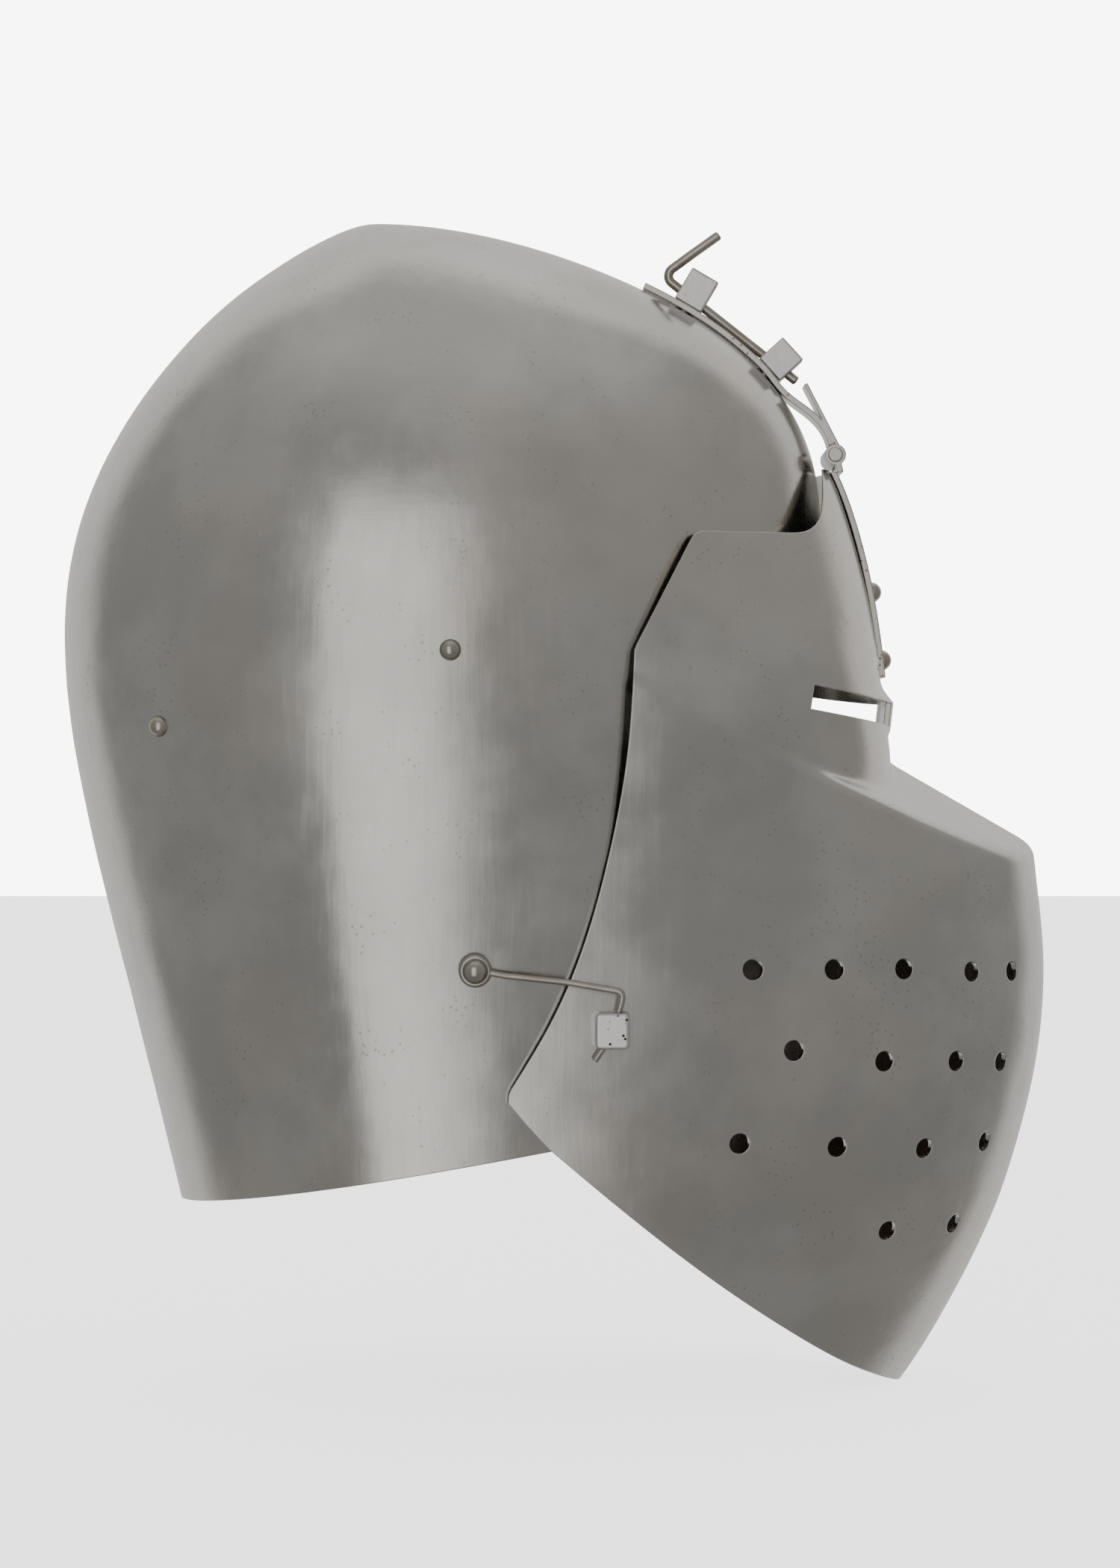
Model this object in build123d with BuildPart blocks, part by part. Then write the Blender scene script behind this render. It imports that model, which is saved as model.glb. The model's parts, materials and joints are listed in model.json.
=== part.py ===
from build123d import *
import math
import os

os.makedirs("parts", exist_ok=True)

# Millimetres. +X is the way the wearer looks, +Y the wearer's left, +Z up.
# The origin is the middle of the head cavity, level with the temple rivets.

# ---------------- driving dimensions ----------------
SHEET = 2.0  # thickness of the raised steel plates
RIVET_HEAD = 3.4  # radius of every domed rivet head
RIVET_SHANK = 2.0
BREATH = 3.3  # radius of a breath hole
HINGE = (128.9, 64.25)  # brow hinge axis, x and z
HINGE_PIN = 1.5
KNUCKLE = 3.5
VISOR_OPEN = 100  # degrees
STRAP = 2.0  # thickness of the hinge straps
UPPER_STRAP = 14  # width of the upper hinge strap
LOWER_STRAP = 27  # width of the lower hinge strap
PIN_WIRE = 1.6  # radius of the locking pin
LATCH_WIRE = 1.0
LEATHER = 2.4
WIDEST_VISOR = 20  # x of the widest place of every visor section
SIGHT_TILT = -9.5  # the sights drop towards the nose
SIGHT_MIDDLE = (132.5, -19.8)
SIGHT_HEIGHT = 7.7
SIGHT_WEB = 18  # half width of the plate left between the two sights

# Skull sections: height, rear x, front x, widest x, half width
SKULL = [
    (-215, -80.5, 138, 2, 91),
    (-165, -93, 138, 0, 94),
    (-115, -105.5, 136, -3, 98),
    (-65, -117.8, 132, -5, 101),
    (-15, -126.8, 128, -6, 102),
    (25, -126.3, 125, -7, 98.5),
    (60, -115.8, 122.5, -8, 89),
    (90, -97, 107, -10, 74),
    (112, -77, 80, -13, 57),
    (128, -56, 46, -16, 38),
    (138, -38.5, 12.5, -20, 19.5),
]
CROWN_POINT = (-24, 142.2)

# Visor sections: height, front x, half width, and the share of that width left at the shoulder
SHOULDER = 0.64  # where the shoulder lies, as a share of the section's depth
FACE_PLATE = [
    (78, 112, 60, 0.77),
    (60, 127.5, 73, 0.77),
    (46, 133.2, 83, 0.78),
    (23, 139.3, 90.5, 0.8),
    (0, 143, 93.6, 0.845),
    (-20, 145, 95.4, 0.893),
    (-50, 146, 95.2, 0.885),
    (-90, 120, 90, 0.8),
]
SNOUT = [
    (-16, 193, 95.6, 0.768),
    (-66, 195.6, 96.4, 0.768),
    (-104, 199, 97.8, 0.768),
    (-135, 196.7, 98.2, 0.768),
    (-160, 191.3, 95.6, 0.768),
    (-185, 183, 90, 0.768),
    (-210, 171.5, 81, 0.768),
    (-235, 157, 66, 0.768),
    (-260, 139, 48, 0.768),
]
NOSE_BRIDGE = (144.8, -36)
SNOUT_CORNER = (195, -64.8)

# Breath holes of one side: rows of (x, z)
BREATHS = [
    [(98, -103.3), (124.1, -103.6), (147, -103.9), (170.1, -105.4), (184.6, -105.9)],
    [(111.1, -128.9), (140.5, -133.1), (164.8, -134), (180.9, -135.2)],
    [(93.9, -158), (125.3, -160), (154.3, -161.8), (175.7, -161.3)],
    [(142.5, -188.3), (165.6, -188.1)],
]

TEMPLE_RIVET = (3.4, -3.3)
REAR_RIVET = (-90, -26.7)
LATCH_PIVOT = (11.2, -102.9)
LATCH_BLOCK = (53.8, -121.4)
SIDES = {"right": -1, "left": 1}


def finish(builder, name):
    """Label a finished piece and write its STEP file."""
    builder.part.label = name
    export_step(builder.part, f"parts/{name}.step")


# ---------------- skull surfaces ----------------
def skull_solid(inset, stations=SKULL, tip=CROWN_POINT, half=(126, 100, 142)):
    """Solid egg of the skull, its surface moved inwards by inset."""
    scale_x, scale_y, scale_z = [1 - inset / size for size in half]
    with BuildPart() as egg:
        for height, rear, front, widest, width in stations:
            middle = widest * scale_x
            with BuildSketch(Plane.XY.offset(height * scale_z)):
                with BuildLine():
                    EllipticalCenterArc(
                        (middle, 0), front * scale_x - middle, width * scale_y, -90, arc_size=180
                    )
                    EllipticalCenterArc(
                        (middle, 0), middle - rear * scale_x, width * scale_y, 90, arc_size=180
                    )
                make_face()
        top = Vertex(tip[0] * scale_x, 0, tip[1] * scale_z)
        sections = list(egg.pending_faces)
        egg.pending_faces.clear()
        loft(sections=[*sections, top])
    return egg.part


def surface_point(solid, x, z, side):
    """Where a line along Y first meets the solid from the given side, and the normal there."""
    line = Axis((x, side * 300, z), (0, -side, 0))
    hits = solid.find_intersection_points(line)
    point, normal = max(hits, key=lambda hit: side * hit[0].Y)
    if normal.Y * side < 0:
        normal = normal * -1
    return point, normal


def latch_frame(side):
    """Plane on the skull at a latch pivot, X straight ahead, Z outwards."""
    point, normal = surface_point(skull_outside, *LATCH_PIVOT, side)
    return Plane(origin=point, x_dir=(1, 0, 0), z_dir=(0, normal.Y, normal.Z))


skull_outside = skull_solid(0)
skull_inside = skull_solid(SHEET)

# ---------------- skull shell ----------------
RIM_BACK = (-89, -182)
RIM_SLOPE = 10.0

with BuildPart() as skull_shell:
    add(skull_outside)
    add(skull_inside, mode=Mode.SUBTRACT)
    # neck rim, rising towards the face
    with BuildSketch(Plane.XZ):
        with BuildLine():
            run = 400
            rise = run * math.tan(math.radians(RIM_SLOPE))
            Polyline(
                (RIM_BACK[0] - run, RIM_BACK[1] - rise),
                (RIM_BACK[0] + run, RIM_BACK[1] + rise),
                (RIM_BACK[0] + run, -400),
                (RIM_BACK[0] - run, -400),
                close=True,
            )
        make_face()
    extrude(amount=150, both=True, mode=Mode.SUBTRACT)
    # face opening, hidden behind the visor
    with BuildSketch(Plane.XZ):
        with BuildLine():
            FilletPolyline(
                (220, 10),
                (92, 10),
                (80, -70),
                (48, -230),
                (220, -230),
                radius=18,
                close=True,
            )
        make_face()
    extrude(amount=150, both=True, mode=Mode.SUBTRACT)

skull_holes = []
for side in (-1, 1):
    for spot in (TEMPLE_RIVET, REAR_RIVET):
        point, normal = surface_point(skull_outside, *spot, side)
        skull_holes.append(Plane(origin=point, z_dir=normal))
    skull_holes.append(latch_frame(side))

# ---------------- staples and the strap they lock ----------------
# Each staple stands on the skull's middle line at x; its size is along, across, and high
STAPLES = {
    "upper_staple": {"x": 78.9, "size": (10.2, 10, 12.8)},
    "lower_staple": {"x": 105.6, "size": (10.3, 10, 11.7)},
}
STAPLE_SHANK = 2.6


def staple_plane(spec):
    """Plane on the skull surface at a staple's foot, Z out of the skull, X down the strap."""
    hits = skull_outside.find_intersection_points(Axis((spec["x"], 0.01, 300), (0, 0, -1)))
    foot, normal = max(hits, key=lambda hit: hit[0].Z)
    if normal.Z < 0:
        normal = normal * -1
    return Plane(
        origin=(foot.X, 0, foot.Z),
        x_dir=(normal.Z, 0, -normal.X),
        z_dir=(normal.X, 0, normal.Z),
    )


with BuildPart() as skull_drilled:
    add(skull_shell.part)
    for place in skull_holes:
        with BuildSketch(place.offset(-20)):
            Circle(RIVET_SHANK)
        extrude(amount=40, mode=Mode.SUBTRACT)
    for spec in STAPLES.values():
        with BuildSketch(staple_plane(spec).offset(-20)):
            Circle(STAPLE_SHANK)
        extrude(amount=40, mode=Mode.SUBTRACT)
finish(skull_drilled, "skull_shell")

# ---------------- visor surfaces ----------------
REACH = 150  # how far the visor's construction solids run back


def visor_loft(sections, inset):
    """Solid with half-round sections, straight-sided behind the widest place."""
    back = WIDEST_VISOR - REACH
    with BuildPart() as bowl:
        for height, front, width, fullness in sections:
            depth = front - inset - WIDEST_VISOR
            half = width - inset
            with BuildSketch(Plane.XY.offset(height)):
                with BuildLine():
                    Spline(
                        (WIDEST_VISOR, half),
                        (WIDEST_VISOR + SHOULDER * depth, fullness * half),
                        (WIDEST_VISOR + depth, 0),
                        tangents=((1, 0), (0, -1)),
                    )
                    Polyline(
                        (WIDEST_VISOR + depth, 0), (back, 0), (back, half), (WIDEST_VISOR, half)
                    )
                make_face()
        loft()
        mirror(about=Plane.XZ)
    return bowl.part


def snout_roof(inset):
    """Everything above the two sloping planes that close the snout on top."""
    run = SNOUT_CORNER[0] - NOSE_BRIDGE[0]
    drop = NOSE_BRIDGE[1] - SNOUT_CORNER[1]
    slope = math.atan2(drop, run)
    side_slope = 0.25
    ridge_radius = 80
    down = inset / math.cos(slope)
    ridge = Plane(
        origin=(NOSE_BRIDGE[0], 0, NOSE_BRIDGE[1] - down),
        x_dir=(0, 1, 0),
        z_dir=(math.cos(slope), 0, -math.sin(slope)),
    )
    up = 1 if ridge.y_dir.Z > 0 else -1
    with BuildPart() as sky:
        with BuildSketch(ridge):
            with BuildLine():
                FilletPolyline(
                    (-160, -160 * side_slope * up), (0, 0), (160, -160 * side_slope * up),
                    radius=ridge_radius,
                )
                Polyline(
                    (160, -160 * side_slope * up), (160, 200 * up), (-160, 200 * up),
                    (-160, -160 * side_slope * up),
                )
            make_face()
        extrude(amount=250, both=True)
    return sky.part


def sight_solid(inset):
    """The pushed-out frame around both sights, lofted between tilted sections."""
    # height above the middle of the sight, front reach, half width
    rings = [(13, 44, 58), (4.4, 53.4, 72.5), (-5.2, 53.9, 73), (-13, 50, 67), (-25, 38, 50)]
    centre = 95
    tilt = math.radians(SIGHT_TILT)
    level = Plane(
        origin=(SIGHT_MIDDLE[0], 0, SIGHT_MIDDLE[1]),
        x_dir=(math.cos(tilt), 0, math.sin(tilt)),
        z_dir=(-math.sin(tilt), 0, math.cos(tilt)),
    )
    offset_x = centre - SIGHT_MIDDLE[0]
    with BuildPart() as frame:
        for height, reach, half in rings:
            with BuildSketch(level.offset(height)):
                with BuildLine():
                    EllipticalCenterArc(
                        (offset_x, 0), reach - inset, half - inset, -90, arc_size=180
                    )
                    Polyline(
                        (offset_x, half - inset), (offset_x - 60, half - inset),
                        (offset_x - 60, inset - half), (offset_x, inset - half),
                    )
                make_face()
        loft(ruled=True)
    return frame.part


def visor_solid(inset):
    with BuildPart() as visor:
        add(visor_loft(SNOUT, inset))
        add(snout_roof(inset), mode=Mode.SUBTRACT)
        add(visor_loft(FACE_PLATE, inset))
        add(sight_solid(inset))
    return visor.part


visor_outside = visor_solid(0)
visor_inside = visor_solid(SHEET)

# ---------------- visor shell ----------------
with BuildPart() as visor_shell:
    add(visor_outside)
    add(visor_inside, mode=Mode.SUBTRACT)
    # outline seen from the side: top edge, tongue, far front, lower edge, rear edge
    with BuildSketch(Plane.XZ):
        with BuildLine():
            corner = (82, 35.2)
            tongue = (124, 59)
            lower_tip = (150, -243)
            heel = (21.3, -144.5)
            Line(corner, (112, 35.8))
            Spline((112, 35.8), (122.5, 42), tongue, tangents=((1, 0), (0, 1)))
            Polyline(tongue, (230, 59), (230, -243), lower_tip)
            Spline(lower_tip, (116.4, -224.2), (72.7, -191.8), (34, -159), heel)
            Line(heel, (22.2, -140.3))
            ThreePointArc((22.2, -140.3), (52.6, -68), (60.8, -3))
            Line((60.8, -3), (79, 32.4))
            Line((79, 32.4), corner)
        make_face()
    extrude(amount=150, both=True, mode=Mode.INTERSECT)
    # the two sights
    tilt = math.radians(SIGHT_TILT)
    across = Plane(
        origin=(SIGHT_MIDDLE[0], 0, SIGHT_MIDDLE[1]),
        x_dir=(math.cos(tilt), 0, math.sin(tilt)),
        z_dir=(0, -1, 0),
    )
    for side in (-1, 1):
        with BuildSketch(across.offset(side * SIGHT_WEB)):
            with Locations((-15 + 40, 0)):
                Rectangle(80, SIGHT_HEIGHT)
        extrude(amount=side * 100, mode=Mode.SUBTRACT)

breath_places = []
for side in (-1, 1):
    for row in BREATHS:
        for spot in row:
            point, normal = surface_point(visor_outside, *spot, side)
            breath_places.append(Plane(origin=point, z_dir=normal))
FRONT_RIVETS = (18.8, -3.8)  # heights of the two rivets of the lower hinge strap
BLOCK_SHANK = 2.4


def on_visor(x, z, side):
    point, normal = surface_point(visor_outside, x, z, side)
    return Plane(origin=point, z_dir=normal)


def on_brow(z):
    """Plane on the visor's middle line at height z, facing forwards."""
    hits = visor_outside.find_intersection_points(Axis((300, 0.01, z), (-1, 0, 0)))
    point, normal = max(hits, key=lambda hit: hit[0].X)
    if normal.X < 0:
        normal = normal * -1
    return Plane(origin=(point.X, 0, z), x_dir=(0, 1, 0), z_dir=(normal.X, 0, normal.Z))


with BuildPart() as visor_drilled:
    add(visor_shell.part)
    for place in breath_places:
        with BuildSketch(place.offset(-12)):
            Circle(BREATH)
        extrude(amount=20, mode=Mode.SUBTRACT)
    for side in (-1, 1):
        with BuildSketch(on_visor(*LATCH_BLOCK, side).offset(-12)):
            Circle(BLOCK_SHANK)
        extrude(amount=20, mode=Mode.SUBTRACT)
    for height in FRONT_RIVETS:
        with BuildSketch(on_brow(height).offset(-12)):
            Circle(RIVET_SHANK)
        extrude(amount=20, mode=Mode.SUBTRACT)
finish(visor_drilled, "visor_shell")

# ---------------- hinge straps, knuckles and pin ----------------
def over_skull(x, height):
    """Point above the skull's middle line, as (x, z) in the side view."""
    plane = staple_plane({"x": x})
    return (plane.origin.X + plane.z_dir.X * height, plane.origin.Z + plane.z_dir.Z * height)


with BuildPart() as upper_hinge_strap:
    # strap on the skull, its tail to the knuckle, and the leaf folded back over it
    with BuildSketch(Plane.XZ):
        with BuildLine():
            middle = STRAP / 2 + 0.28
            on_the_skull = [over_skull(x, middle) for x in (65, 72, 79, 86, 93, 100, 106, 111)]
            Spline(*on_the_skull, (119.6, 79.8), (128, 68))
        trace(line_width=STRAP)
        with BuildLine():
            Line((119.4, 88.4), (130.4, 67.2))
        trace(line_width=1.2)
        with Locations(HINGE):
            Circle(KNUCKLE)
            Circle(HINGE_PIN + 0.06, mode=Mode.SUBTRACT)
    extrude(amount=UPPER_STRAP / 2, both=True)
    for spec in STAPLES.values():
        with BuildSketch(staple_plane(spec).offset(-3)):
            Rectangle(2 * STAPLE_SHANK + 1.6, 2 * STAPLE_SHANK + 1.2)
        extrude(amount=6.5, mode=Mode.SUBTRACT)
finish(upper_hinge_strap, "upper_hinge_strap")

with BuildPart() as lower_hinge_strap:
    # wide strap that follows the face plate down to the sights
    add(visor_loft(FACE_PLATE, -STRAP - 0.06))
    add(visor_loft(FACE_PLATE, -0.06), mode=Mode.SUBTRACT)
    with BuildSketch(Plane.XZ):
        with Locations((135, 24.5)):
            Rectangle(50, 68)
    extrude(amount=LOWER_STRAP / 2, both=True, mode=Mode.INTERSECT)
    with BuildSketch(Plane.XZ):
        with BuildLine():
            Polyline((130.6, 58.4), (129.8, 62))
        trace(line_width=STRAP)
        with Locations(HINGE):
            Circle(KNUCKLE)
    extrude(amount=LOWER_STRAP / 2, both=True)
    # room for the middle knuckle
    with BuildSketch(Plane.XZ):
        with Locations((HINGE[0], HINGE[1] + 3)):
            Rectangle(14, 2 * KNUCKLE + 7.6)
    extrude(amount=UPPER_STRAP / 2 + 0.3, both=True, mode=Mode.SUBTRACT)
    with BuildSketch(Plane.XZ):
        with Locations(HINGE):
            Circle(HINGE_PIN + 0.02)
    extrude(amount=40, both=True, mode=Mode.SUBTRACT)
    for height in FRONT_RIVETS:
        with BuildSketch(on_brow(height).offset(-12)):
            Circle(RIVET_SHANK)
        extrude(amount=24, mode=Mode.SUBTRACT)
finish(lower_hinge_strap, "lower_hinge_strap")

with BuildPart() as hinge_pin:
    with BuildSketch(Plane.XZ):
        with Locations(HINGE):
            Circle(HINGE_PIN)
    extrude(amount=LOWER_STRAP / 2 + 0.1, both=True)
    for side in (-1, 1):
        with BuildSketch(Plane.XZ.offset(side * (LOWER_STRAP / 2 + 0.1))):
            with Locations(HINGE):
                Circle(HINGE_PIN + 1)
        extrude(amount=side * 1.2)
    fillet(hinge_pin.edges().group_by(Axis.Y)[-1] + hinge_pin.edges().group_by(Axis.Y)[0], 0.5)
finish(hinge_pin, "hinge_pin")


# ---------------- rivets and washers ----------------
def rivet_at(place, grip, head=RIVET_HEAD, shank=RIVET_SHANK, gap=0.0):
    """Domed rivet on a surface, its shank going grip deep to a small peened end."""
    height = 0.85 * head
    radius = (head**2 + height**2) / (2 * height)
    turned = Plane(origin=place.origin, x_dir=place.x_dir, z_dir=place.y_dir)
    up = 1 if turned.y_dir.dot(place.z_dir) > 0 else -1
    with BuildPart() as rivet:
        with BuildSketch(turned):
            with BuildLine():
                RadiusArc((0, up * (height + gap)), (head, up * gap), up * radius)
                Polyline(
                    (head, up * gap), (shank, up * gap), (shank, -up * grip),
                    (shank + 1, -up * grip), (shank + 0.4, -up * (grip + 1.1)),
                    (0, -up * (grip + 1.3)), (0, up * (height + gap)),
                )
            make_face()
        axis = Axis(place.origin, place.z_dir)
        revolve(axis=axis)
    return rivet.part


def washer_at(place, depth, thickness=1.2, outer=5.5, hole=RIVET_SHANK + 0.05):
    """Round washer whose outer face lies depth below the surface."""
    with BuildPart() as washer:
        with BuildSketch(place.offset(-depth - thickness)):
            Circle(outer)
            Circle(hole, mode=Mode.SUBTRACT)
        extrude(amount=thickness)
    return washer.part


def on_skull(spot, side):
    point, normal = surface_point(skull_outside, *spot, side)
    return Plane(origin=point, z_dir=normal)


TEMPLE_DEPTH = 14.2  # skull, band, tongues and chin strap
REAR_DEPTH = 12.9  # skull, band and tongues
with BuildPart() as liner_rivets:
    for side in (-1, 1):
        add(rivet_at(on_skull(TEMPLE_RIVET, side), TEMPLE_DEPTH + 1.2))
        add(rivet_at(on_skull(REAR_RIVET, side), REAR_DEPTH + 1.2))
finish(liner_rivets, "liner_rivets")

with BuildPart() as liner_rivet_washers:
    for side in (-1, 1):
        add(washer_at(on_skull(TEMPLE_RIVET, side), TEMPLE_DEPTH))
        add(washer_at(on_skull(REAR_RIVET, side), REAR_DEPTH))
finish(liner_rivet_washers, "liner_rivet_washers")

LATCH_LIFT = 3.2  # height of the latch wire's centre line over the skull at its pivot
with BuildPart() as latch_rivet_washers:
    for side in (-1, 1):
        add(washer_at(latch_frame(side), SHEET + 0.9))
finish(latch_rivet_washers, "latch_rivet_washers")

# ---------------- staples and the locking pin ----------------
STAPLE_BASE = STRAP + 0.5  # height of a staple's foot over the skull
PIN_HEIGHT = STAPLE_BASE + 3.0
PIN_PLAY = 0.35

pin_through = [
    staple_plane(spec).offset(PIN_HEIGHT).origin for spec in STAPLES.values()
]
pin_direction = (pin_through[1] - pin_through[0]).normalized()
pin_plane = Plane(origin=pin_through[0], x_dir=(0, 1, 0), z_dir=pin_direction)

for name, spec in STAPLES.items():
    along, across_size, high = spec["size"]
    place = staple_plane(spec)
    with BuildPart() as staple:
        with BuildSketch(place.offset(STAPLE_BASE)):
            Rectangle(along, across_size)
        extrude(amount=high - 1)
        fillet(staple.edges(), 0.6)
        with BuildSketch(place.offset(-SHEET - 0.6)):
            Circle(STAPLE_SHANK - 0.02)
        extrude(amount=SHEET + STAPLE_BASE + 1)
        with BuildSketch(place.offset(-SHEET - 2)):
            Circle(STAPLE_SHANK + 1.6)
        extrude(amount=1.6)
        with BuildSketch(pin_plane.offset(-60)):
            Circle(PIN_WIRE + PIN_PLAY)
        extrude(amount=140, mode=Mode.SUBTRACT)
    finish(staple, name)

with BuildPart() as brow_locking_pin:
    tip = pin_through[1] + pin_direction * 9
    neck = pin_through[0] - pin_direction * 12.5
    with BuildLine() as wire:
        FilletPolyline(
            (tip.X, 0, tip.Z),
            (neck.X, 0, neck.Z),
            (81.8, 0, 132.4),
            (90.8, 0, 138.8),
            radius=3,
        )
    with BuildSketch(Plane(origin=tip, x_dir=(0, 1, 0), z_dir=pin_direction * -1)):
        Circle(PIN_WIRE)
    sweep()
    chamfer(brow_locking_pin.faces().filter_by(GeomType.PLANE).edges(), 0.5)
finish(brow_locking_pin, "brow_locking_pin")

FRONT_GRIP = SHEET + 0.5
with BuildPart() as lower_hinge_rivets:
    for height in FRONT_RIVETS:
        place = on_brow(height).offset(STRAP + 0.1)
        add(rivet_at(place, FRONT_GRIP + STRAP + 0.1 + 1.2))
finish(lower_hinge_rivets, "lower_hinge_rivets")

with BuildPart() as lower_hinge_washers:
    for height in FRONT_RIVETS:
        add(washer_at(on_brow(height), FRONT_GRIP))
finish(lower_hinge_washers, "lower_hinge_washers")

# ---------------- side latches ----------------
# Each is drawn for the left side, and the right one is its mirror image.
HOOK_PLAY = 0.7
EYE = 4.1  # radius of the wire's eye to the middle of the wire


def finish_pair(builder, name):
    """Write a left piece and its mirror image."""
    finish(builder, f"{name}_left")
    with BuildPart() as other:
        add(mirror(builder.part, about=Plane.XZ, mode=Mode.PRIVATE))
    finish(other, f"{name}_right")


pivot_plane = latch_frame(1)
wire_plane = pivot_plane.offset(LATCH_LIFT)
block_surface = on_visor(*LATCH_BLOCK, 1)
block_spot = wire_plane.to_local_coords(block_surface.origin)
reach = math.hypot(block_spot.X, block_spot.Y)
block_angle = math.degrees(math.atan2(block_spot.Y, block_spot.X))
hook_start = block_angle - 15.5


def polar(radius, angle):
    """Point in the wire's plane, the angle growing downwards from straight ahead."""
    angle = math.radians(angle)
    return (radius * math.cos(angle), radius * math.sin(angle))


with BuildPart() as latch_wire:
    with BuildLine(wire_plane):
        arm = FilletPolyline(
            polar(EYE - 0.2, 6),
            polar(reach * 0.2, 9),
            polar(reach * 0.62, 7),
            polar(reach, hook_start),
            *[polar(reach, hook_start + step) for step in (6, 12, 18, 24, 29)],
            radius=[6, 12, 1.9, 40, 40, 40, 40],
        )
    with BuildSketch(Plane(origin=arm @ 0, z_dir=arm % 0)):
        Circle(LATCH_WIRE)
    sweep()
    with Locations(wire_plane):
        Torus(EYE, LATCH_WIRE + 0.1)
finish_pair(latch_wire, "latch_wire")

# pivot rivet: a stepped shank through the eye and the skull, a wide head over the eye
with BuildPart() as latch_rivet:
    add(rivet_at(pivot_plane, SHEET + 0.9 + 1.2, head=4, gap=LATCH_LIFT + LATCH_WIRE + 0.25))
finish_pair(latch_rivet, "latch_rivet")

# pierced block on the visor that takes the hook
tangent = (
    wire_plane.from_local_coords(polar(1, block_angle + 90)) - wire_plane.origin
).normalized()
block_centre = wire_plane.from_local_coords(polar(reach, block_angle))
block_plane = Plane(block_centre, (1, 0, 0), wire_plane.z_dir)
with BuildPart() as latch_staple:
    with BuildSketch(block_plane.offset(-7)):
        RectangleRounded(10.7, 11.3, 1.6)
    extrude(amount=7 + 3.2)
    fillet(latch_staple.faces().sort_by(Axis(block_centre, block_plane.z_dir))[-1].edges(), 1)
    add(visor_outside, mode=Mode.SUBTRACT)
    with BuildSketch(block_surface.offset(-SHEET - 0.8)):
        Circle(BLOCK_SHANK - 0.02)
    extrude(amount=SHEET + 1.2)
    with BuildSketch(block_surface.offset(-SHEET - 2)):
        Circle(BLOCK_SHANK + 1.5)
    extrude(amount=1.4)
    with BuildSketch(Plane(origin=block_centre, z_dir=tangent).offset(-12)):
        Circle(LATCH_WIRE + HOOK_PLAY)
    extrude(amount=24, mode=Mode.SUBTRACT)
finish_pair(latch_staple, "latch_staple")

# ---------------- leather liner ----------------
BAND_TILT = -math.degrees(math.atan2(23.4, 93.4))  # rises from the rear rivets to the temples


def band_slab(below, above):
    """Tilted slab centred on the liner rivets."""
    with BuildPart() as slab:
        with BuildSketch(Plane.XZ):
            with Locations(Location((TEMPLE_RIVET[0], TEMPLE_RIVET[1], 0), -BAND_TILT)):
                with Locations((0, (above - below) / 2)):
                    Rectangle(400, above + below)
        extrude(amount=150, both=True)
    return slab.part


with BuildPart() as liner_drills:
    for side in (-1, 1):
        for spot in (TEMPLE_RIVET, REAR_RIVET):
            with BuildSketch(on_skull(spot, side).offset(-20)):
                Circle(RIVET_SHANK + 0.02)
            extrude(amount=40)

with BuildPart() as liner_band:
    add(skull_solid(SHEET + 0.6))
    add(skull_solid(SHEET + 0.6 + LEATHER), mode=Mode.SUBTRACT)
    add(band_slab(15, 15), mode=Mode.INTERSECT)
    add(liner_drills.part, mode=Mode.SUBTRACT)
finish(liner_band, "liner_band")

# Crown sections, drawn in from the skull as they rise so that the head hangs in the tongues
CROWN = [
    (-60, -110.5, 122, -5, 93.2),
    (-30, -116.3, 119.4, -5, 94.2),
    (0, -119.9, 118.4, -6, 93.6),
    (30, -117.5, 116.2, -7, 90.2),
    (60, -104, 103, -8, 78),
    (85, -80, 78, -10, 58),
    (100, -56, 48, -13, 36),
]
CROWN_TIP = (-20, 108)
TONGUES = 8
with BuildPart() as liner_tongues:
    add(skull_solid(0, CROWN, CROWN_TIP, (118, 94, 108)))
    add(skull_solid(LEATHER - 0.2, CROWN, CROWN_TIP, (118, 94, 108)), mode=Mode.SUBTRACT)
    add(band_slab(8, 200), mode=Mode.INTERSECT)
    # the tongues are parted above the band and stop short of the middle
    for index in range(TONGUES):
        angle = 360 / TONGUES * (index + 0.5)
        with BuildSketch(Plane((-10, 0, 52), (0, 0, 1), Vector(1, 0, 0).rotate(Axis.Z, angle))):
            with BuildLine():
                FilletPolyline((0, -9), (70, -12), (70, 12), (0, 9), radius=5, close=True)
            make_face()
        extrude(amount=200, mode=Mode.SUBTRACT)
    with BuildSketch(Plane.XY.offset(80)):
        with Locations((-13, 0)):
            Ellipse(38, 28)
    extrude(amount=60, mode=Mode.SUBTRACT)
    add(liner_drills.part, mode=Mode.SUBTRACT)
finish(liner_tongues, "liner_tongues")

with BuildPart() as crown_thong:
    with BuildLine(Plane.XY.offset(92)) as lace:
        EllipticalCenterArc((-11.4, 0), 65.5, 40.2, -90, arc_size=180)
        EllipticalCenterArc((-11.4, 0), 49.5, 40.2, 90, arc_size=180)
    with BuildSketch(Plane(origin=lace.line @ 0, z_dir=lace.line % 0)):
        Circle(1.5)
    sweep()
finish(crown_thong, "crown_thong")

# ---------------- chin strap ----------------
CHIN_WIDTH = 18
CHIN_X = 4
strap_plane = Plane((CHIN_X, 0, 0), (0, 1, 0), (1, 0, 0))
# side run down from the temple rivet, as (y, z)
CHIN_SIDE = [(88.8, 6), (88.8, -40), (86, -105), (57, -140.5)]

with BuildPart() as chin_strap_left:
    with BuildSketch(strap_plane):
        with BuildLine():
            FilletPolyline(*CHIN_SIDE, (30, -150.6), radius=14)
        trace(line_width=LEATHER)
    extrude(amount=CHIN_WIDTH / 2, both=True)
    add(liner_drills.part, mode=Mode.SUBTRACT)
finish(chin_strap_left, "chin_strap_left")

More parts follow.
